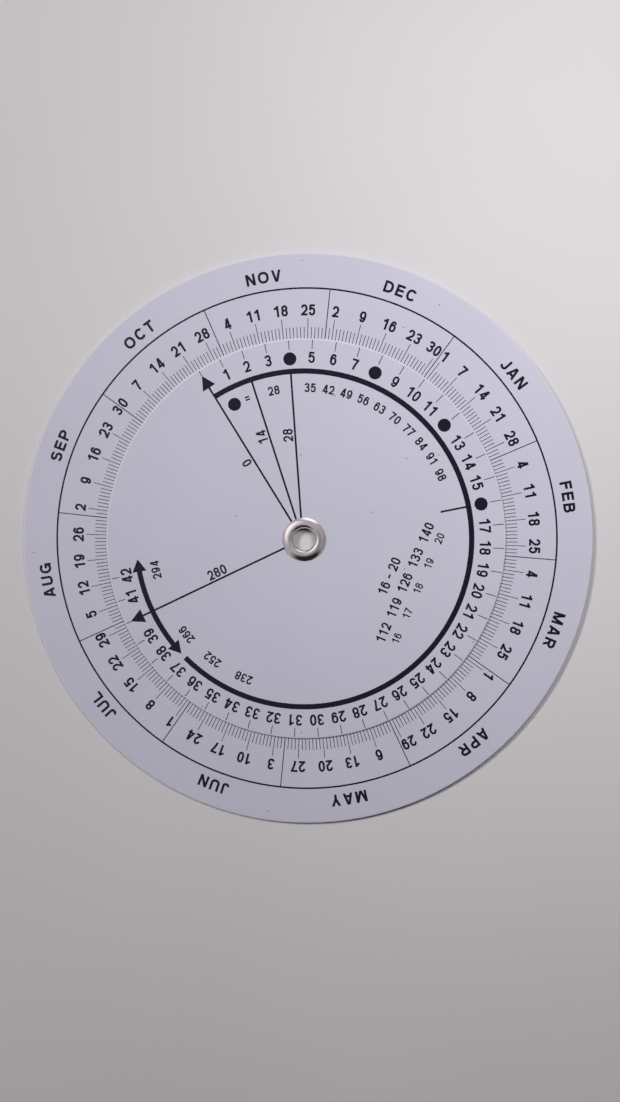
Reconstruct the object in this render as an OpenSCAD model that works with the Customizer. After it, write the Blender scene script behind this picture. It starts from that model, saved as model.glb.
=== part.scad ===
// Two-disc date wheel: a week disc turns on a calendar disc, joined by one clinched eyelet.
// Millimetres, +Z up. The eyelet's axis is the Z axis, and its rear roll stands on Z = 0.

/* [Calendar disc] */
// Diameter of the calendar disc, the larger and lower one
calendar_d = 112; // [90:0.5:140]
// Thickness of the calendar disc's sheet
calendar_t = 0.3; // [0.2:0.05:1]

/* [Week disc] */
// Diameter of the week disc, the smaller and upper one
week_d = 78.4; // [50:0.2:85]
// Thickness of the week disc's sheet
week_t = 0.3; // [0.2:0.05:1]

/* [Die-cut edges] */
// Width of the shoulder that the die draws down round the upper edges of a disc
shoulder_w = 0.28; // [0.1:0.02:0.4]
// Height of that shoulder
shoulder_h = 0.06; // [0.03:0.01:0.1]
// Width and height of the bevel round the lower edges, where the sheet breaks away
break_w = 0.04; // [0.02:0.01:0.06]

/* [Eyelet] */
// Diameter of the clear bore through the eyelet
bore_d = 4.3; // [3:0.1:8]
// Thickness of the eyelet's sheet metal
wall = 0.25; // [0.15:0.01:0.3]
// Outer radius of the mouth, the bend from the barrel up to the crest
mouth_r = 0.8; // [0.5:0.05:1]
// Width of the flange's slope, from the crest out to its edge
slope_w = 1.25; // [0.9:0.05:2]
// Angle of the flange's slope at its edge
slope_a = 45; // [30:1:60]
// Outer radius of both bends of the rear roll
roll_r = 0.35; // [0.35:0.05:0.6]
// Width of the flat ring that the clinching tool leaves between those bends
roll_flat = 0.3; // [0.1:0.05:0.8]
// Straight height of the rear roll's lip, up to the calendar disc
roll_lip = 0.05; // [0.05:0.01:0.3]

/* [Fits] */
// Radial running clearance of the week disc's hole on the eyelet
running_gap = 0.06; // [0.02:0.01:0.1]
// Radial clearance of the calendar disc's hole on the eyelet
seat_gap = 0.02; // [0.01:0.01:0.05]
// Axial play under the week disc, and again between it and the flange
axial_gap = 0.05; // [0.02:0.01:0.15]

/* [Hidden] */

// Facets on a full turn, for the discs and for the small bends
disc_fn = 240;
bend_fn = 96;

// The shoulder is one arc, level where it leaves the disc's face. Its radius follows from
// its width and its height, to the nearest thousandth.
shoulder_r = round(1000 * (shoulder_w * shoulder_w + shoulder_h * shoulder_h) / (2 * shoulder_h)) / 1000;

// The flange's slope is one arc, level at the crest. Its radius follows from its width and
// its angle at the edge, and its drop is down to the lower corner of its edge. Both are to
// the nearest thousandth.
slope_r = round(1000 * slope_w / sin(slope_a)) / 1000;
slope_drop = round(1000 * (slope_r - (slope_r - wall) * cos(slope_a))) / 1000;

// Radii from the axis
bore_r = bore_d / 2;
crest_r = bore_r + mouth_r;
curl_r = bore_r + roll_r + roll_flat;

// Heights, from the rear roll up
calendar_z = roll_r + roll_lip;
week_z = calendar_z + calendar_t + axial_gap;
edge_z = week_z + week_t + axial_gap;
crest_z = edge_z + slope_drop;
mouth_z = crest_z - mouth_r;
slope_z = crest_z - slope_r;

// Outer radius of the eyelet's sheet at a height, along the barrel and up under the mouth
function shank_r(z) = crest_r - sqrt(pow(mouth_r - wall, 2) - pow(max(z - mouth_z, 0), 2));

// Radii of the holes, clear of the eyelet up to the face of each disc
calendar_hole_r = shank_r(calendar_z + calendar_t) + seat_gap;
week_hole_r = shank_r(week_z + week_t) + running_gap;

// Ring of the eyelet's sheet in section, one wall thick
module sheet_ring(r) {
    difference() {
        circle(r = r, $fn = bend_fn);
        circle(r = r - wall, $fn = bend_fn);
    }
}

// A bend of the eyelet's sheet in section: the part of a ring in one quadrant about its centre
module bend(centre, r, quadrant) {
    translate(centre)
        intersection() {
            sheet_ring(r);
            mirror([quadrant[0] < 0 ? 1 : 0, 0])
                mirror([0, quadrant[1] < 0 ? 1 : 0])
                    square([2 * r, 2 * r]);
        }
}

// The flange's slope in section, from level at the crest to its edge, which is cut square
module slope() {
    reach = 2 * slope_r;
    translate([crest_r, slope_z])
        intersection() {
            sheet_ring(slope_r);
            polygon([[0, 0], [0, reach], [reach * tan(slope_a), reach]]);
        }
}

// A straight stretch of the eyelet's sheet in section, from its lower inner corner
module strip(corner, size) {
    translate(corner)
        square(size);
}

// What the die takes off one edge at the origin: a shoulder above and a bevel below
module edge_cuts(t) {
    difference() {
        translate([0, t - shoulder_r])
            square([shoulder_w, shoulder_r]);
        translate([shoulder_w, t - shoulder_r])
            circle(r = shoulder_r, $fn = bend_fn);
    }
    polygon([[0, 0], [break_w, 0], [0, break_w]]);
}

// Section of a die-cut disc from its hole to its rim
module disc_section(hole_r, rim_r, t) {
    difference() {
        translate([hole_r, 0])
            square([rim_r - hole_r, t]);
        translate([hole_r, 0])
            edge_cuts(t);
        translate([rim_r, 0])
            mirror([1, 0])
                edge_cuts(t);
    }
}

// Lower disc: carries the calendar scale and is gripped by the eyelet's rear roll
module calendar_disc() {
    color([0.90, 0.89, 0.94])
        translate([0, 0, calendar_z])
            rotate_extrude($fn = disc_fn)
                disc_section(calendar_hole_r, calendar_d / 2, calendar_t);
}

// Upper disc: carries the week scale and turns on the eyelet's barrel
module week_disc() {
    color([0.92, 0.91, 0.95])
        translate([0, 0, week_z])
            rotate_extrude($fn = disc_fn)
                disc_section(week_hole_r, week_d / 2, week_t);
}

// Eyelet: one sheet drawn into flange, mouth and barrel, and rolled over behind the calendar disc
module eyelet() {
    color([0.78, 0.76, 0.73])
        rotate_extrude($fn = disc_fn) {
            slope();
            bend([crest_r, mouth_z], mouth_r, [-1, 1]);
            strip([bore_r, roll_r], [wall, mouth_z - roll_r]);
            bend([bore_r + roll_r, roll_r], roll_r, [-1, -1]);
            strip([bore_r + roll_r, 0], [roll_flat, wall]);
            bend([curl_r, roll_r], roll_r, [1, -1]);
            strip([curl_r + roll_r - wall, roll_r], [wall, roll_lip]);
        }
}

calendar_disc();
week_disc();
eyelet();
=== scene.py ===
"""Looks of a two-disc date wheel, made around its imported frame.

Lengths are metres. +X is to the right in the photograph, +Y to its top, +Z out of the printed faces.
Dial angles are degrees clockwise from +Y, the way a dial is read.
"""

import math

import bpy
from mathutils import Matrix, Vector
from mathutils.geometry import delaunay_2d_cdt


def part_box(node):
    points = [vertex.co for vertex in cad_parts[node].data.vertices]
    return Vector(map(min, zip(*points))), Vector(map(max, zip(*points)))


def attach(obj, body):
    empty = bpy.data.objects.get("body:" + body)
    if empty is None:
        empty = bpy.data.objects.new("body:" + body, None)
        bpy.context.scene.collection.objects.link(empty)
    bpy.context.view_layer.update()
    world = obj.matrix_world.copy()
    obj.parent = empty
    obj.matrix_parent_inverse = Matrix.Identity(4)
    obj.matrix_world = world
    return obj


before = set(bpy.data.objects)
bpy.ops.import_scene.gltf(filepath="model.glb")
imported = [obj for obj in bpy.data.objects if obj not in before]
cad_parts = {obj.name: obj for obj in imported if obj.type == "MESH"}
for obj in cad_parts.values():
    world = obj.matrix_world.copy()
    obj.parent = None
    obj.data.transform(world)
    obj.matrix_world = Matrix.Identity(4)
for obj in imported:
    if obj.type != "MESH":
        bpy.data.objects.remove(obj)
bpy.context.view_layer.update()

MM = 0.001

# Points this close to a level lie on it
HAIR = 0.001 * MM


def widest(node, level):
    """Largest radius of a frame node's points at a level."""
    points = [v.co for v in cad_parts[node].data.vertices]
    return max(math.hypot(p.x, p.y) for p in points if abs(p.z - level) < HAIR)


# Heights and radii that the frame gives
CALENDAR_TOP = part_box("calendar_disc")[1].z
CALENDAR_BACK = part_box("calendar_disc")[0].z
WEEK_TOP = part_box("week_disc")[1].z
RIM_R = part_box("calendar_disc")[1].x
WEEK_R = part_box("week_disc")[1].x
FLANGE_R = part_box("eyelet")[1].x
CALENDAR_FACE_R = widest("calendar_disc", CALENDAR_TOP)
WEEK_FACE_R = widest("week_disc", WEEK_TOP)
FOOT_R = widest("eyelet", 0)

# Printed ink stands this high on the sheet
INK_HEIGHT = 0.012 * MM

# Calendar scale: day 1 of the year follows YEAR_START, and the days run clockwise
DAYS = 365
DAY_STEP = 360 / DAYS
YEAR_START = 36.55
MONTHS = [
    ("JAN", 31), ("FEB", 28), ("MAR", 31), ("APR", 30), ("MAY", 31), ("JUN", 30),
    ("JUL", 31), ("AUG", 31), ("SEP", 30), ("OCT", 31), ("NOV", 30), ("DEC", 31),
]
WEEK_DAYS = 7
CIRCLE_R = 49.08 * MM
CIRCLE_W = 0.33 * MM
MONTH_NAME_R = 51.8 * MM
MONTH_LINE_W = 0.17 * MM

# Dates, and the room that they leave beside a month line
DATE_R = 44.83 * MM
DATE_CLEAR = 0.3 * MM

# Day ticks and month lines start a little under the week disc's rim
TICK_UNDER_RIM = 0.4 * MM
TICK_FROM = WEEK_R - TICK_UNDER_RIM
DAY_TICK_TO = 41.5 * MM
DATE_TICK_TO = 43.2 * MM
DAY_TICK_W = 0.125 * MM

# Week scale: its print's middle, which stands a little out of register with the eyelet's axis,
# week 0 at rest, and the step from week to week
WEEK_PRINT_AT = Vector((-0.28, -0.03)) * MM
WEEK_ZERO = 328.35
WEEK_STEP = 360 * WEEK_DAYS / DAYS
LAST_WEEK = 42
BIRTH_WEEK = 40
POINTED_WEEKS = (0, BIRTH_WEEK)
WEEK_TICK_FROM = 37.1 * MM
WEEK_TICK_W = 0.14 * MM
WEEK_NUMBER_R = 35.55 * MM

# Dots that stand for some week numbers
DOT_WEEKS = (4, 8, 12, 16)
DOT_R = 1.28 * MM
DOT_RING_R = 35.35 * MM

# Radial lines, which start a little under the eyelet's flange, and their arrowheads
LINE_WEEKS = (0, 2, 4, BIRTH_WEEK)
LINE_W = 0.37 * MM
LINE_UNDER_FLANGE = 0.5 * MM
LINE_FROM = FLANGE_R - LINE_UNDER_FLANGE
SHORT_LINE_WEEK = 16
SHORT_LINE_FROM = 27.4 * MM
ARROW_TIP_R = 37.65 * MM
ARROW_BASE_R = 34.95 * MM
ARROW_HALF_W = 1.42 * MM

# Bold arc under the week numbers, and the double-headed arrow that follows it, in weeks along the arc
ARC_R = 32.88 * MM
ARC_W = 1.04 * MM
ARC_LAST_WEEK = 37.15
SPAN_FIRST_WEEK = 37.43
SPAN_LAST_WEEK = 42.7
SPAN_HEAD_WEEKS = 0.62
SPAN_HEAD_HALF_W = 1.42 * MM
SPAN_INTO_HEAD_WEEKS = 0.1

# Day counts printed inside the arc, and the legend of the dots before them: a dot, a sign and a count
DAY_COUNT_R = 29.65 * MM
DAY_COUNT_WEEKS = (*range(5, 15), 34, 36, 38, 42)
LEGEND_DOT_WEEK = 0.71
LEGEND_SIGN_WEEK = 1.49
LEGEND_COUNT_WEEK = 3

# Day counts beside the radial lines: the line's week, the middle of the number and the way it is read
LINE_LABELS = (
    {"week": 0, "radius": 18.5 * MM, "outwards": True},
    {"week": 2, "radius": 21.5 * MM, "outwards": True},
    {"week": 4, "radius": 20.5 * MM, "outwards": True},
    {"week": BIRTH_WEEK, "radius": 18.0 * MM, "outwards": False},
)
LINE_LABEL_GAP = 0.45 * MM

# Grid of day counts below the short line: its first and last week, place, turn, column pitch and rows
GRID_WEEKS = (16, 20)
GRID_AT = Vector((16.9, -7.2)) * MM
GRID_TURN = -67
GRID_PITCH = 5.3 * MM
GRID_ROWS = (3.3 * MM, 6.1 * MM)

# Type sizes: height of a character, then its stroke and the gap between characters as shares of that
DATE_TYPE = {"height": 2.2 * MM, "stroke": 0.188, "gap": 0.11}
WEEK_TYPE = {"height": 2.2 * MM, "stroke": 0.178, "gap": 0.11}
MONTH_TYPE = {"height": 2.3 * MM, "stroke": 0.21, "gap": 0.24}
COUNT_TYPE = {"height": 1.75 * MM, "stroke": 0.175, "gap": 0.12}
LABEL_TYPE = {"height": 1.95 * MM, "stroke": 0.172, "gap": 0.12}
SMALL_TYPE = {"height": 1.55 * MM, "stroke": 0.16, "gap": 0.12}

# Width of each character as a share of its height
DIGIT_W = 0.58
WIDTHS = {
    "A": 0.84, "B": 0.77, "C": 0.86, "D": 0.82, "E": 0.71, "F": 0.67, "G": 0.88, "J": 0.62, "L": 0.66,
    "M": 0.96, "N": 0.79, "O": 0.93, "P": 0.76, "R": 0.80, "S": 0.77, "T": 0.75, "U": 0.79, "V": 0.82,
    "Y": 0.82, "4": 0.64, "=": 0.50, "-": 0.42, " ": 0.22,
}

# Straight strokes run this far past a character's box, where they are cut level
PAST = 0.2

# Two ends of a line that are closer than this meet
TOUCH = 1e-6

# A mitre's length is divided by 1 + the cosine of its turn, and by no less than this in a sharp corner
LEAST_DIVISOR = 0.35

# Decimals that a printed shape's points are rounded to, in millimetres or in character heights
PLACES = 5

# Tones that each surface varies between, that of dust, and the pale tone of a disc's rim, which is partly
# the cut edge's whitening and partly a painted highlight
SHEET_TONES = ((0.67, 0.65, 0.78), (0.69, 0.67, 0.80))
NICKEL_TONES = ((0.64, 0.575, 0.60), (0.74, 0.67, 0.695))
INK_TONES = ((0.003, 0.0025, 0.014), (0.006, 0.005, 0.022))
TABLE_TONES = ((0.775, 0.734, 0.755), (0.805, 0.764, 0.785))
DUST_TONE = (0.24, 0.23, 0.27)
RIM_WHITENING_AND_HIGHLIGHT_TONE = (0.80, 0.785, 0.90)

# The pale rim tone, partly the cut edge's whitening and partly a painted highlight, begins just inside
# the end of a disc's face and has its full tone just outside it
RIM_TONE_INSIDE = 0.05 * MM
RIM_TONE_OUTSIDE = 0.1 * MM
EDGE_SOFTNESS = 0.3 * MM
EDGE_SAMPLES = 6

# The wheel rocks on its eyelet, and this side of it stands high
LIFT_CLOCK = 72.0
TABLE_R = 0.5
TABLE_SIDES = 180

# Lights: place by clock angle and elevation, distance, size and power
KEY = {"clock": 305, "elevation": 43, "distance": 1.3, "width": 0.65, "height": 0.2, "power": 8.9}
LAMP = {"clock": 42, "elevation": 55, "distance": 0.18, "radius": 0.05, "power": 0.6}
FILL = 0.02
BACKDROP = (0.44, 0.42, 0.42)

# The room that gloss reflects: its grey, then patches of it that are painted over by clock angle and
# elevation, the angles from there within which a patch is full and where it ends, and its own grey
ROOM = 0.5
ROOM_PATCHES = (
    {"clock": 303, "elevation": 46, "full": 8, "ends": 34, "grey": 1.4},
    {"clock": 14, "elevation": 12, "full": 10, "ends": 28, "grey": 1.7},
    {"clock": 100, "elevation": 20, "full": 14, "ends": 34, "grey": 0.32},
    {"clock": 108, "elevation": 72, "full": 6, "ends": 18, "grey": 0.3},
    {"clock": 172, "elevation": 28, "full": 28, "ends": 50, "grey": 0.02},
)

# Photograph's frame, focal length and wheel's middle, in its own pixels
PHOTO_W = 620
PHOTO_H = 1102
FOCAL_PX = 828
WHEEL_CENTRE_PX = (304.13, 539.22)

# Camera: its distance from the wheel, the nearest depth that it sees, the wheel's slope towards it to the
# right and to the top, and its sensor's height in millimetres
CAMERA_DISTANCE = 162.5 * MM
CAMERA_NEAR = 10 * MM
RISE_TO_RIGHT = 0.0392
RISE_TO_TOP = 0.0145
SENSOR_H = 36.0


# Points and outlines

def clock_point(radius, clock):
    """Point on the dial at a radius and a clockwise angle."""
    turn = math.radians(clock)
    return Vector((radius * math.sin(turn), radius * math.cos(turn)))


def disc_polygon(centre, radius, sides=48):
    """Polygon that stands for a disc, clockwise."""
    return [centre + clock_point(radius, 360 * i / sides) for i in range(sides)]


def tick(inner, outer, clock, width):
    """Radial bar, as one polygon."""
    side = clock_point(width / 2, clock + 90)
    foot = clock_point(inner, clock)
    head = clock_point(outer, clock)
    return [foot - side, foot + side, head + side, head - side]


def arrowhead(tip, base, half_width):
    """Triangle from its tip and the middle of its base."""
    along = (tip - base).normalized()
    side = Vector((along.y, -along.x)) * half_width
    return [tip, base - side, base + side]


def arc(cx, cy, rx, ry, start, stop, power=2.3, step=9.0):
    """Points of a slightly squared arc, angles in degrees anticlockwise from +x."""
    count = max(4, round(abs(stop - start) / step))
    points = []
    for i in range(count + 1):
        turn = math.radians(start + (stop - start) * i / count)
        c, s = math.cos(turn), math.sin(turn)
        x = math.copysign(abs(c) ** (2 / power), c)
        y = math.copysign(abs(s) ** (2 / power), s)
        points.append((cx + rx * x, cy + ry * y))
    return points


def ribbon(points, width):
    """Quads of a stroke of even width along a line, with mitred corners.

    A line that ends where it starts is closed.
    """
    line = [Vector(p) for p in points]
    closed = (line[0] - line[-1]).length < TOUCH
    if closed:
        line.pop()
    count = len(line)
    sides = []
    for i, p in enumerate(line):
        before = line[i - 1] if closed or i > 0 else None
        after = line[(i + 1) % count] if closed or i < count - 1 else None
        normals = []
        for start, stop in ((before, p), (p, after)):
            if start is not None and stop is not None:
                along = (stop - start).normalized()
                normals.append(Vector((-along.y, along.x)))
        out = normals[0]
        if len(normals) == 2:
            out = (normals[0] + normals[1]) / max(1 + normals[0].dot(normals[1]), LEAST_DIVISOR)
        sides.append((p + out * width / 2, p - out * width / 2))
    last = count if closed else count - 1
    quads = []
    for i in range(last):
        (left, right), (next_left, next_right) = sides[i], sides[(i + 1) % count]
        quads.append([right, next_right, next_left, left])
    return quads


def ring_band(radius, width, start, stop, step=1.0):
    """Quads of a band along a ring, between two clockwise angles."""
    count = max(2, round(abs(stop - start) / step))
    points = [clock_point(radius, start + (stop - start) * i / count) for i in range(count + 1)]
    return ribbon(points, width)


def cut_level(polygon, level, keep_above):
    """The part of a convex polygon above or below a level line."""
    kept = []
    for i, p in enumerate(polygon):
        q = polygon[(i + 1) % len(polygon)]
        p_in = (p.y >= level) == keep_above
        q_in = (q.y >= level) == keep_above
        if p_in:
            kept.append(p)
        if p_in != q_in:
            kept.append(p.lerp(q, (level - p.y) / (q.y - p.y)))
    return kept


def anticlockwise(polygon):
    """The polygon with its points in anticlockwise order, so that its face looks up."""
    area = sum(polygon[i - 1].cross(p) for i, p in enumerate(polygon))
    return polygon if area > 0 else polygon[::-1]


def union(polygons):
    """One flat mesh, points and faces, that covers the polygons once."""
    points = []
    faces = []
    for polygon in polygons:
        corners = [Vector((round(p.x, PLACES), round(p.y, PLACES))) for p in anticlockwise(polygon)]
        faces.append(list(range(len(points), len(points) + len(corners))))
        points.extend(corners)
    found, _, triangles, _, _, sources = delaunay_2d_cdt(points, [], faces, 1, 10 ** -PLACES)
    return found, [list(t) for t, source in zip(triangles, sources) if source]


# Characters

def slant(foot, head):
    """Straight stroke from the foot to the head of a character's box, and on past both."""
    lean = head - foot
    return [(foot - PAST * lean, -PAST), (head + PAST * lean, 1 + PAST)]


def mirrored(line, wide):
    """A stroke mirrored in a box of this width."""
    return [(wide - x, y) for x, y in line]


def strokes(char, wide, half):
    """Centre lines of a character, in a box of this width and a height of 1, for a stroke of 2 * half."""
    left, right, base, top, mid = half, wide - half, half, 1 - half, wide / 2
    rx, ry = mid - half, 0.5 - half
    waist = 0.535
    up, up_r = (top + waist) / 2, (top - waist) / 2
    low, low_r = (waist + base) / 2, (waist - base) / 2
    stem = slant(left, left)
    if char in "0O":
        return [arc(mid, 0.5, rx, ry, 0, 360)]
    if char == "1":
        x = 0.64 * wide
        return [slant(x, x), [(x - 0.31, 0.745), (x - 0.15, 0.78), (x - 0.01, 0.95)]]
    if char == "2":
        hook = arc(mid, top - 0.27, rx, 0.27, 175, -32) + [(left + 0.01, base)]
        return [hook, [(0, base), (wide, base)]]
    if char == "3":
        inner = (mid - 0.08, waist)
        upper = arc(mid, up, rx * 0.94, up_r, 172, -90) + [inner]
        return [upper, [inner] + arc(mid, low, rx, low_r, 90, -172)]
    if char == "4":
        x, bar = wide - 2.0 * half, 0.26
        return [slant(x, x), [(wide, bar), (1.6 * half, bar), (x + 0.04, 1 + PAST)]]
    if char == "5":
        bowl_r = (0.64 - base) / 2
        flag = [(wide - 0.05, top), (left + 0.055, top), (left + 0.02, 0.46)]
        return [flag, arc(mid, base + bowl_r, rx, bowl_r, 148, -170)]
    if char in "69":
        bowl_r = (0.635 - base) / 2
        bowl = arc(mid, base + bowl_r, rx, bowl_r, 0, 360)
        back = arc(mid, 0.5, rx, ry, 32, 180) + [(left, base + bowl_r)]
        if char == "6":
            return [bowl, back]
        return [[(wide - x, 1 - y) for x, y in line] for line in (bowl, back)]
    if char == "7":
        leg = [(right + 0.01, top), (0.62 * wide, 0.56), (0.47 * wide, 0.28), (0.36 * wide, -PAST)]
        return [[(0, top), (wide, top)], leg]
    if char == "8":
        return [arc(mid, up, rx * 0.92, up_r, 0, 360), arc(mid, low, rx, low_r, 0, 360)]
    if char == "A":
        leg = slant(1.1 * half, mid - 0.25 * half)
        return [leg, mirrored(leg, wide), [(0.2 * wide, 0.27), (0.8 * wide, 0.27)]]
    if char == "B":
        x = 0.5 * wide
        upper = [(left, top)] + arc(x, up, 0.94 * right - x, up_r, 90, -90) + [(left, waist)]
        return [stem, upper, [(left, waist)] + arc(x, low, right - x, low_r, 90, -90) + [(left, base)]]
    if char == "C":
        return [arc(mid, 0.5, rx, ry, 38, 322)]
    if char == "D":
        x = 0.42 * wide
        return [stem, [(left, top)] + arc(x, 0.5, right - x, ry, 90, -90) + [(left, base)]]
    if char in "EF":
        arms = [stem, [(left, top), (wide, top)], [(left, 0.52), (0.94 * wide, 0.52)]]
        return arms + ([[(left, base), (wide, base)]] if char == "E" else [])
    if char == "G":
        bar = 0.46
        spur = [(right, 0), (right, bar + half)]
        return [arc(mid, 0.5, rx, ry, 38, 332), spur, [(mid, bar), (wide, bar)]]
    if char == "J":
        return [[(right, 1 + PAST), (right, 0.3)] + arc(mid, 0.3, rx, 0.3 - base, 0, -178)]
    if char == "L":
        return [[(left, 1 + PAST), (left, base), (wide, base)]]
    if char == "M":
        inner = slant(mid, left)
        return [stem, slant(right, right), inner, mirrored(inner, wide)]
    if char == "N":
        return [stem, slant(right, right), slant(right, left)]
    if char in "PR":
        x, foot = 0.5 * wide, 0.46
        bowl_y, bowl_r = (top + foot) / 2, (top - foot) / 2
        bowl = [(left, top)] + arc(x, bowl_y, right - x, bowl_r, 90, -90) + [(left, foot)]
        leg = [[(x, foot), (right + 0.06, -PAST)]] if char == "R" else []
        return [stem, bowl] + leg
    if char == "S":
        return [arc(mid, up, rx * 0.96, up_r, 18, 270) + arc(mid, low, rx, low_r, 90, -162)[1:]]
    if char == "T":
        return [[(0, top), (wide, top)], [(mid, -PAST), (mid, top)]]
    if char == "U":
        turn = 0.34
        bowl = arc(mid, turn, rx, turn - base, 180, 360)[1:]
        return [[(left, 1 + PAST), (left, turn)] + bowl + [(right, 1 + PAST)]]
    if char == "V":
        leg = slant(mid - 0.25 * half, 1.1 * half)
        return [leg, mirrored(leg, wide)]
    if char == "Y":
        fork = 0.40
        reach = (mid - 1.1 * half) * (1 + PAST - fork) / (1 - fork)
        arm = [(mid - reach, 1 + PAST), (mid, fork)]
        return [arm, mirrored(arm, wide), [(mid, -PAST), (mid, fork + half)]]
    if char == "=":
        return [[(0, y), (wide, y)] for y in (0.36, 0.66)]
    return [[(0, 0.47), (wide, 0.47)]]


def width_of(char):
    """Width of a character as a share of its height."""
    return WIDTHS.get(char, DIGIT_W)


def text_width(text, style):
    """Length of a line of characters."""
    return (sum(width_of(c) for c in text) + style["gap"] * (len(text) - 1)) * style["height"]


CHARACTERS = {}


def character(char, stroke):
    """Flat mesh of a character 1 high, centred on the middle of its box. Each is made once."""
    key = (char, stroke)
    if key not in CHARACTERS:
        wide = width_of(char)
        polygons = []
        for line in strokes(char, wide, stroke / 2):
            for quad in ribbon(line, stroke):
                polygon = cut_level(quad, 0, True)
                polygon = cut_level(polygon, 1, False) if polygon else []
                if len(polygon) > 2:
                    polygons.append([p - Vector((wide / 2, 0.5)) for p in polygon])
        CHARACTERS[key] = union(polygons)
    return CHARACTERS[key]


# Ink: thin closed solids on a disc's face

class Ink:
    """Collects flat shapes and turns them into one mesh of thin closed solids."""

    def __init__(self, name, body, floor_z, middle=Vector((0, 0))):
        self.name = name
        self.body = body
        self.middle = middle
        self.low = floor_z
        self.high = floor_z + INK_HEIGHT
        self.points = []
        self.faces = []

    def shape(self, points, faces):
        """Adds one flat mesh as a solid: its face, its underside and its walls."""
        start = len(self.points)
        count = len(points)
        placed = [p + self.middle for p in points]
        self.points += [(p.x, p.y, self.high) for p in placed]
        self.points += [(p.x, p.y, self.low) for p in placed]
        edges = set()
        for face in faces:
            edges.update(zip(face, face[1:] + face[:1]))
            self.faces.append([start + i for i in face])
            self.faces.append([start + count + i for i in reversed(face)])
        for i, j in edges:
            if (j, i) not in edges:
                self.faces.append([start + i, start + count + i, start + count + j, start + j])

    def polygon(self, points):
        """Adds one polygon."""
        self.shape(anticlockwise(points), [list(range(len(points)))])

    def polygons(self, polygons):
        """Adds polygons that may overlap, as one shape."""
        points, faces = union([[Vector(p) / MM for p in polygon] for polygon in polygons])
        self.shape([p * MM for p in points], faces)

    def text(self, text, style, place):
        """Adds a line of characters.

        place gives a character's centre and its clockwise turn from its offset along the line.
        """
        height = style["height"]
        at = -text_width(text, style) / 2
        for char in text:
            wide = width_of(char) * height
            if char != " ":
                points, faces = character(char, style["stroke"])
                centre, turn = place(at + wide / 2)
                spin = Matrix.Rotation(-math.radians(turn), 2)
                self.shape([centre + spin @ (p * height) for p in points], faces)
            at += wide + style["gap"] * height

    def ring_text(self, text, style, radius, clock):
        """Adds characters that stand on a ring, heads outwards."""

        def place(offset):
            turn = clock + math.degrees(offset / radius)
            return clock_point(radius, turn), turn

        self.text(text, style, place)

    def line_text(self, text, style, centre, turn):
        """Adds characters on a straight line, turned clockwise from level."""
        along = clock_point(1.0, turn + 90)
        self.text(text, style, lambda offset: (centre + along * offset, turn))

    def finish(self, material):
        """Makes the mesh object, on the body that carries it."""
        mesh = bpy.data.meshes.new(self.name)
        mesh.from_pydata(self.points, [], self.faces)
        mesh.validate()
        mesh.materials.append(material)
        piece = bpy.data.objects.new(self.name, mesh)
        bpy.context.scene.collection.objects.link(piece)
        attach(piece, self.body)


# Print on the calendar disc

def day_clock(day):
    """Angle of a day of the year."""
    return YEAR_START + day * DAY_STEP


def print_date(ink, text, day, line_day):
    """Date at its tick. Beside a month line it moves clear of it, and on the line its digits part."""
    style = dict(DATE_TYPE)
    half = text_width(text, style) / 2
    away = math.radians((day - line_day) * DAY_STEP) * DATE_R
    if day == line_day:
        style["gap"] = 2 * DATE_CLEAR / style["height"]
    elif abs(away) < half + DATE_CLEAR:
        away = math.copysign(half + DATE_CLEAR, away)
    ink.ring_text(text, style, DATE_R, day_clock(line_day) + math.degrees(away / DATE_R))


def print_calendar(material):
    """Circle, day ticks, dates and months."""
    lines = Ink("calendar_circle", "calendar", CALENDAR_TOP)
    ticks = Ink("calendar_ticks", "calendar", CALENDAR_TOP)
    dates = Ink("calendar_dates", "calendar", CALENDAR_TOP)
    names = Ink("calendar_months", "calendar", CALENDAR_TOP)

    shapes = ring_band(CIRCLE_R, CIRCLE_W, 0, 360)
    line_days = [0]
    for name, length in MONTHS:
        line_day = line_days[-1]
        shapes.append(tick(TICK_FROM, CIRCLE_R, day_clock(line_day), MONTH_LINE_W))
        names.ring_text(name, MONTH_TYPE, MONTH_NAME_R, day_clock(line_day + length / 2))
        line_days.append(line_day + length)
    lines.polygons(shapes)

    for day in range(1, DAYS + 1):
        line_day = min(line_days, key=lambda at: abs(at - day))
        labelled = day % WEEK_DAYS == 0 or day == 1
        if labelled:
            date = day - max(at for at in line_days if at < day)
            print_date(dates, str(date), day, line_day)
        if day != line_day:
            outer = DATE_TICK_TO if labelled else DAY_TICK_TO
            ticks.polygon(tick(TICK_FROM, outer, day_clock(day), DAY_TICK_W))

    for ink in (lines, ticks, dates, names):
        ink.finish(material)


# Print on the week disc

def week_clock(week):
    """Angle of a week, at rest."""
    return WEEK_ZERO + week * WEEK_STEP


def day_count(week):
    """Number of days in some weeks, as it is printed."""
    return str(week * WEEK_DAYS)


def week_face_end(clock):
    """Distance from the week print's middle to the edge of the disc's face."""
    along = WEEK_PRINT_AT.dot(clock_point(1.0, clock))
    return math.sqrt(WEEK_FACE_R ** 2 - WEEK_PRINT_AT.length_squared + along ** 2) - along


def print_week_scale(ticks, numbers, dots):
    """Tick of each week, and its number or its dot."""
    for week in range(LAST_WEEK + 1):
        clock = week_clock(week)
        inner = ARROW_TIP_R if week in POINTED_WEEKS else WEEK_TICK_FROM
        ticks.polygon(tick(inner, week_face_end(clock), clock, WEEK_TICK_W))
        if week in DOT_WEEKS:
            dots.polygon(disc_polygon(clock_point(DOT_RING_R, clock), DOT_R))
        elif week not in POINTED_WEEKS:
            numbers.ring_text(str(week), WEEK_TYPE, WEEK_NUMBER_R, clock)


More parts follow.
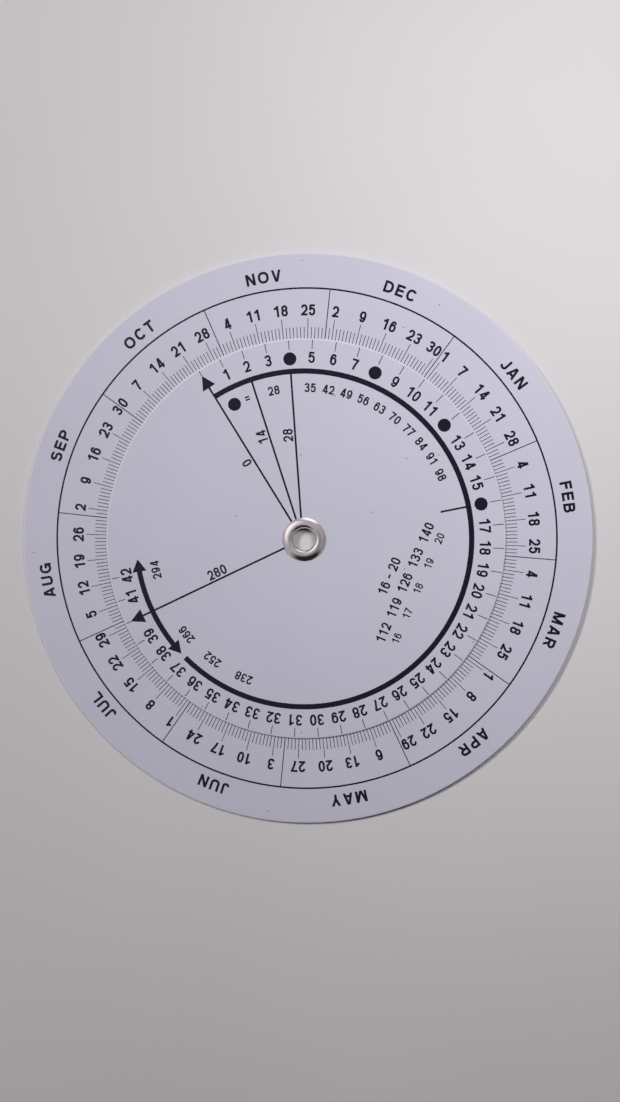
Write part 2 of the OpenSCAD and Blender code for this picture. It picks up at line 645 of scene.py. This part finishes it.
def span_arrow():
    """Polygons of the double-headed arrow along the arc."""
    first_base = SPAN_FIRST_WEEK + SPAN_HEAD_WEEKS
    last_base = SPAN_LAST_WEEK - SPAN_HEAD_WEEKS
    shapes = []
    for tip, base in ((SPAN_FIRST_WEEK, first_base), (SPAN_LAST_WEEK, last_base)):
        ends = [clock_point(ARC_R, week_clock(week)) for week in (tip, base)]
        shapes.append(arrowhead(*ends, SPAN_HEAD_HALF_W))
    start = week_clock(first_base - SPAN_INTO_HEAD_WEEKS)
    stop = week_clock(last_base + SPAN_INTO_HEAD_WEEKS)
    return shapes + ring_band(ARC_R, ARC_W, start, stop)


def print_arc_and_lines(ink):
    """Bold arc, double-headed arrow, and radial lines with their arrowheads."""
    shapes = ring_band(ARC_R, ARC_W, week_clock(0), week_clock(ARC_LAST_WEEK))
    shapes += span_arrow()
    for week in LINE_WEEKS:
        clock = week_clock(week)
        outer = ARROW_BASE_R if week in POINTED_WEEKS else ARC_R
        shapes.append(tick(LINE_FROM, outer, clock, LINE_W))
        if week in POINTED_WEEKS:
            tip, base = clock_point(ARROW_TIP_R, clock), clock_point(ARROW_BASE_R, clock)
            shapes.append(arrowhead(tip, base, ARROW_HALF_W))
    shapes.append(tick(SHORT_LINE_FROM, ARC_R, week_clock(SHORT_LINE_WEEK), LINE_W))
    ink.polygons(shapes)


def print_line_label(ink, week, radius, outwards):
    """Day count along a radial line, on its left when read outwards, or above it when read inwards."""
    gap = LABEL_TYPE["height"] / 2 + LINE_LABEL_GAP
    clock = week_clock(week)
    side = clock - 90 if outwards else clock + 90
    centre = clock_point(radius, clock) + clock_point(gap, side)
    ink.line_text(day_count(week), LABEL_TYPE, centre, side)


def print_week_grid(ink):
    """Small grid of a span of weeks: its limits, then each week's days above its number."""
    along = clock_point(1.0, GRID_TURN + 90)
    down = clock_point(1.0, GRID_TURN + 180)
    first, last = GRID_WEEKS
    ink.line_text(f"{first} - {last}", LABEL_TYPE, GRID_AT, GRID_TURN)
    for week in range(first, last + 1):
        column = GRID_AT + along * (week - (first + last) / 2) * GRID_PITCH
        ink.line_text(day_count(week), LABEL_TYPE, column + down * GRID_ROWS[0], GRID_TURN)
        ink.line_text(str(week), SMALL_TYPE, column + down * GRID_ROWS[1], GRID_TURN)


def print_counts(ink, dots):
    """Legend of the dots, and every day count."""
    dots.polygon(disc_polygon(clock_point(DAY_COUNT_R, week_clock(LEGEND_DOT_WEEK)), DOT_R))
    ink.ring_text("=", COUNT_TYPE, DAY_COUNT_R, week_clock(LEGEND_SIGN_WEEK))
    ink.ring_text(day_count(DOT_WEEKS[0]), COUNT_TYPE, DAY_COUNT_R, week_clock(LEGEND_COUNT_WEEK))
    for week in DAY_COUNT_WEEKS:
        ink.ring_text(day_count(week), COUNT_TYPE, DAY_COUNT_R, week_clock(week))
    for label in LINE_LABELS:
        print_line_label(ink, **label)
    print_week_grid(ink)


def print_weeks(material):
    """Week ticks and numbers, dots, arc, arrows, lines and day counts."""
    ticks = Ink("week_ticks", "week", WEEK_TOP, WEEK_PRINT_AT)
    numbers = Ink("week_numbers", "week", WEEK_TOP, WEEK_PRINT_AT)
    dots = Ink("week_dots", "week", WEEK_TOP, WEEK_PRINT_AT)
    lines = Ink("week_arc_and_lines", "week", WEEK_TOP, WEEK_PRINT_AT)
    counts = Ink("week_day_counts", "week", WEEK_TOP, WEEK_PRINT_AT)
    print_week_scale(ticks, numbers, dots)
    print_arc_and_lines(lines)
    print_counts(counts, dots)
    for ink in (ticks, numbers, dots, lines, counts):
        ink.finish(material)


# Materials

def opaque(colour):
    """Colour with its alpha. A node's output stays as it is."""
    return (*colour, 1) if isinstance(colour, tuple) else colour


class Nodes:
    """Adds nodes to a node tree and links them. coords names the texture coordinates that they use."""

    def __init__(self, tree, coords):
        self.nodes = tree.nodes
        self.links = tree.links
        self.coords = self.add("ShaderNodeTexCoord").outputs[coords]

    def feed(self, socket, value):
        """Links a node's output to a socket, or sets the socket's own value."""
        if isinstance(value, bpy.types.NodeSocket):
            self.links.new(value, socket)
        else:
            socket.default_value = value

    def add(self, kind, inputs=None, **settings):
        """New node with its settings and inputs."""
        node = self.nodes.new(kind)
        for name, value in settings.items():
            setattr(node, name, value)
        for name, value in (inputs or {}).items():
            self.feed(node.inputs[name], value)
        return node

    def noise(self, scale, detail):
        """Noise, its scale in cells per metre."""
        inputs = {"Vector": self.coords, "Scale": scale, "Detail": detail, "Roughness": 0.55}
        return self.add("ShaderNodeTexNoise", inputs).outputs["Fac"]

    def spread(self, value, low, high, from_low=0.35, from_high=0.65):
        """Maps a value to a range. Most of a noise lies between the limits given here."""
        inputs = {
            "Value": value,
            "From Min": from_low, "From Max": from_high,
            "To Min": low, "To Max": high,
        }
        return self.add("ShaderNodeMapRange", inputs).outputs["Result"]

    def mix(self, factor, first, second):
        """Colour between two colours."""
        inputs = {"Factor": factor, "A": opaque(first), "B": opaque(second)}
        return self.add("ShaderNodeMix", inputs, data_type="RGBA").outputs["Result"]

    def bump(self, shader, height, strength, distance):
        """Bump on a shader's surface."""
        inputs = {"Height": height, "Strength": strength, "Distance": distance}
        node = self.add("ShaderNodeBump", inputs)
        self.feed(shader.inputs["Normal"], node.outputs["Normal"])
        return node


def new_material(name):
    """New material, its nodes and its shader."""
    material = bpy.data.materials.new(name)
    material.use_nodes = True
    tree = Nodes(material.node_tree, "Object")
    return material, tree, tree.nodes["Principled BSDF"]


def dust_specks(tree):
    """Where dust lies: a small dot in a few of many cells."""
    inputs = {"Vector": tree.coords, "Scale": 150}
    cells = tree.add("ShaderNodeTexVoronoi", inputs, voronoi_dimensions="2D")
    pick = tree.add("ShaderNodeSeparateColor", {"Color": cells.outputs["Color"]})
    chosen = tree.spread(pick.outputs["Red"], low=0, high=1, from_low=0.90, from_high=0.905)
    dot = tree.spread(cells.outputs["Distance"], low=1, high=0, from_low=0.012, from_high=0.03)
    both = tree.add("ShaderNodeMath", {0: chosen, 1: dot}, operation="MULTIPLY")
    return both.outputs["Value"]


def cut_edge(tree, face_r):
    """Where a disc's rim band is, beyond its face. Its pale tone there is partly the cut edge's whitening
    and partly a painted highlight.
    """
    radius = tree.add("ShaderNodeVectorMath", {0: tree.coords}, operation="LENGTH")
    inside, outside = face_r - RIM_TONE_INSIDE, face_r + RIM_TONE_OUTSIDE
    return tree.spread(radius.outputs["Value"], low=0, high=1, from_low=inside, from_high=outside)


def soften_edges(tree, texture):
    """Lets sharp edges catch light as if they were rounded, under the texture's bump."""
    node = tree.add("ShaderNodeBevel", {"Radius": EDGE_SOFTNESS}, samples=EDGE_SAMPLES)
    tree.feed(texture.inputs["Normal"], node.outputs["Normal"])


def sheet_plastic(name, face_r):
    """Satin sheet plastic: faint clouds, a fine texture, a few dust specks and a pale rim, which is
    partly the cut edge's whitening and partly a painted highlight.
    """
    material, tree, shader = new_material(name)
    cloud = tree.noise(scale=45, detail=3)
    fine = tree.noise(scale=2600, detail=2)
    tone = tree.mix(tree.spread(cloud, low=0, high=1), *SHEET_TONES)
    dusty = tree.mix(dust_specks(tree), tone, DUST_TONE)
    # Pale rim: partly the cut edge's whitening, partly a painted highlight along the edge
    whitened_and_highlit = tree.mix(cut_edge(tree, face_r), dusty, RIM_WHITENING_AND_HIGHLIGHT_TONE)
    tree.feed(shader.inputs["Base Color"], whitened_and_highlit)
    tree.feed(shader.inputs["Roughness"], tree.spread(fine, low=0.38, high=0.50))
    texture = tree.bump(shader, fine, strength=0.12, distance=0.02 * MM)
    soften_edges(tree, texture)
    return material


def nickel_plate(name):
    """Bright plate over formed sheet: fine rubbed texture and slightly uneven tone and gloss."""
    material, tree, shader = new_material(name)
    rub = tree.noise(scale=1900, detail=4)
    patch = tree.noise(scale=420, detail=2)
    shader.inputs["Metallic"].default_value = 1.0
    tree.feed(shader.inputs["Base Color"], tree.mix(tree.spread(patch, low=0, high=1), *NICKEL_TONES))
    tree.feed(shader.inputs["Roughness"], tree.spread(rub, low=0.09, high=0.18))
    tree.bump(shader, rub, strength=0.08, distance=0.01 * MM)
    return material


def printing_ink(name):
    """Blue-black ink with a slightly uneven film."""
    material, tree, shader = new_material(name)
    film = tree.noise(scale=2200, detail=3)
    shader.inputs["Specular IOR Level"].default_value = 0.3
    tree.feed(shader.inputs["Base Color"], tree.mix(tree.spread(film, low=0, high=1), *INK_TONES))
    tree.feed(shader.inputs["Roughness"], tree.spread(film, low=0.22, high=0.32))
    return material


def table_top(name):
    """Pale laminate with faint clouds and a fine grain."""
    material, tree, shader = new_material(name)
    cloud = tree.noise(scale=9, detail=3)
    grain = tree.noise(scale=900, detail=2)
    tree.feed(shader.inputs["Base Color"], tree.mix(tree.spread(cloud, low=0, high=1), *TABLE_TONES))
    tree.feed(shader.inputs["Roughness"], tree.spread(grain, low=0.48, high=0.60))
    tree.bump(shader, grain, strength=0.05, distance=0.02 * MM)
    return material


def dress(node, material):
    """Gives a frame node its finish."""
    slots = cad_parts[node].data.materials
    slots.clear()
    slots.append(material)


# Table, light and camera

def lay_table(material):
    """Round table top, leaning so that it meets the eyelet's rear roll and the rim's low side."""
    slope = CALENDAR_BACK / (RIM_R - FOOT_R)
    low_side = clock_point(1.0, LIFT_CLOCK + 180)
    edge = anticlockwise(disc_polygon(Vector((0, 0)), TABLE_R, TABLE_SIDES))
    points = [(p.x, p.y, slope * (p.dot(low_side) - FOOT_R)) for p in edge]
    mesh = bpy.data.meshes.new("table")
    mesh.from_pydata(points, [], [list(range(len(points)))])
    mesh.materials.append(material)
    table = bpy.data.objects.new("table", mesh)
    bpy.context.scene.collection.objects.link(table)


def bearing(clock, elevation):
    """Direction by a clockwise angle on the dial and an elevation above it."""
    flat = clock_point(math.cos(math.radians(elevation)), clock)
    return Vector((flat.x, flat.y, math.sin(math.radians(elevation))))


def place_light(light, spec):
    """Puts a light in its place, facing the wheel's middle. Gloss reflects the room instead of it."""
    light.energy = spec["power"]
    fitting = bpy.data.objects.new(light.name, light)
    fitting.location = bearing(spec["clock"], spec["elevation"]) * spec["distance"]
    fitting.rotation_euler = (-fitting.location).to_track_quat("-Z", "Y").to_euler()
    fitting.visible_glossy = False
    fitting.visible_camera = False
    bpy.context.scene.collection.objects.link(fitting)


def soft_box(name, spec):
    """Rectangular soft light."""
    light = bpy.data.lights.new(name, "AREA")
    light.shape = "RECTANGLE"
    light.size = spec["width"]
    light.size_y = spec["height"]
    place_light(light, spec)


def globe(name, spec):
    """Round soft light, which shines every way."""
    light = bpy.data.lights.new(name, "POINT")
    light.shadow_soft_size = spec["radius"]
    place_light(light, spec)


def room_tone(tree):
    """Tone of the room by direction: grey with bright and dark patches."""
    tone = (ROOM,) * 3
    for patch in ROOM_PATCHES:
        centre = bearing(patch["clock"], patch["elevation"])
        towards = tree.add("ShaderNodeVectorMath", {0: tree.coords, 1: centre}, operation="DOT_PRODUCT")
        ends, full = (math.cos(math.radians(patch[limit])) for limit in ("ends", "full"))
        inside = tree.spread(towards.outputs["Value"], low=0, high=1, from_low=ends, from_high=full)
        tone = tree.mix(inside, tone, (patch["grey"],) * 3)
    return tone


def light_room():
    """World: an even fill, a plain backdrop for the camera, and for gloss the room.

    Gloss that lights a matt surface gets the fill, so that bright metal adds no light round it.
    """
    world = bpy.data.worlds.new("studio")
    world.use_nodes = True
    tree = Nodes(world.node_tree, "Generated")
    fill = tree.nodes["Background"]
    fill.inputs["Strength"].default_value = FILL
    backdrop = tree.add("ShaderNodeBackground", {"Color": opaque(BACKDROP)})
    room = tree.add("ShaderNodeBackground", {"Color": room_tone(tree)})
    rays = tree.add("ShaderNodeLightPath").outputs
    inputs = {0: rays["Is Glossy Ray"], 1: rays["Diffuse Depth"]}
    first_gloss = tree.add("ShaderNodeMath", inputs, operation="SUBTRACT", use_clamp=True)
    seen = fill.outputs["Background"]
    for share, other in ((first_gloss.outputs["Value"], room), (rays["Is Camera Ray"], backdrop)):
        choice = tree.add("ShaderNodeMixShader", {"Fac": share, 1: seen, 2: other.outputs["Background"]})
        seen = choice.outputs["Shader"]
    tree.feed(tree.nodes["World Output"].inputs["Surface"], seen)
    bpy.context.scene.world = world


def place_camera():
    """Camera at the photograph's place, above the wheel.

    Seen from there, the wheel rises a little to the right and to the top.
    """
    across = Vector((1, 0, RISE_TO_RIGHT)).normalized()
    out = Vector((-RISE_TO_RIGHT, -RISE_TO_TOP, 1)).normalized()
    upward = out.cross(across)
    to_wheel = Matrix((across, upward, out))
    offset_x = (WHEEL_CENTRE_PX[0] - PHOTO_W / 2) / FOCAL_PX * CAMERA_DISTANCE
    offset_y = (PHOTO_H / 2 - WHEEL_CENTRE_PX[1]) / FOCAL_PX * CAMERA_DISTANCE
    centre = Vector((offset_x, offset_y, -CAMERA_DISTANCE))
    data = bpy.data.cameras.new("camera")
    data.sensor_fit = "VERTICAL"
    data.sensor_height = SENSOR_H
    data.lens = SENSOR_H * FOCAL_PX / PHOTO_H
    data.clip_start = CAMERA_NEAR
    camera = bpy.data.objects.new("camera", data)
    place = to_wheel.to_4x4()
    place.translation = to_wheel @ -centre + Vector((0, 0, CALENDAR_TOP))
    camera.matrix_world = place
    bpy.context.scene.collection.objects.link(camera)
    bpy.context.scene.camera = camera


# The scene

place_camera()
bpy.context.scene.view_settings.view_transform = "Standard"

dress("calendar_disc", sheet_plastic("calendar_sheet", CALENDAR_FACE_R))
dress("week_disc", sheet_plastic("week_sheet", WEEK_FACE_R))
dress("eyelet", nickel_plate("nickel"))
INK = printing_ink("ink")
print_calendar(INK)
print_weeks(INK)
lay_table(table_top("table_top"))
soft_box("key", KEY)
globe("lamp", LAMP)
light_room()
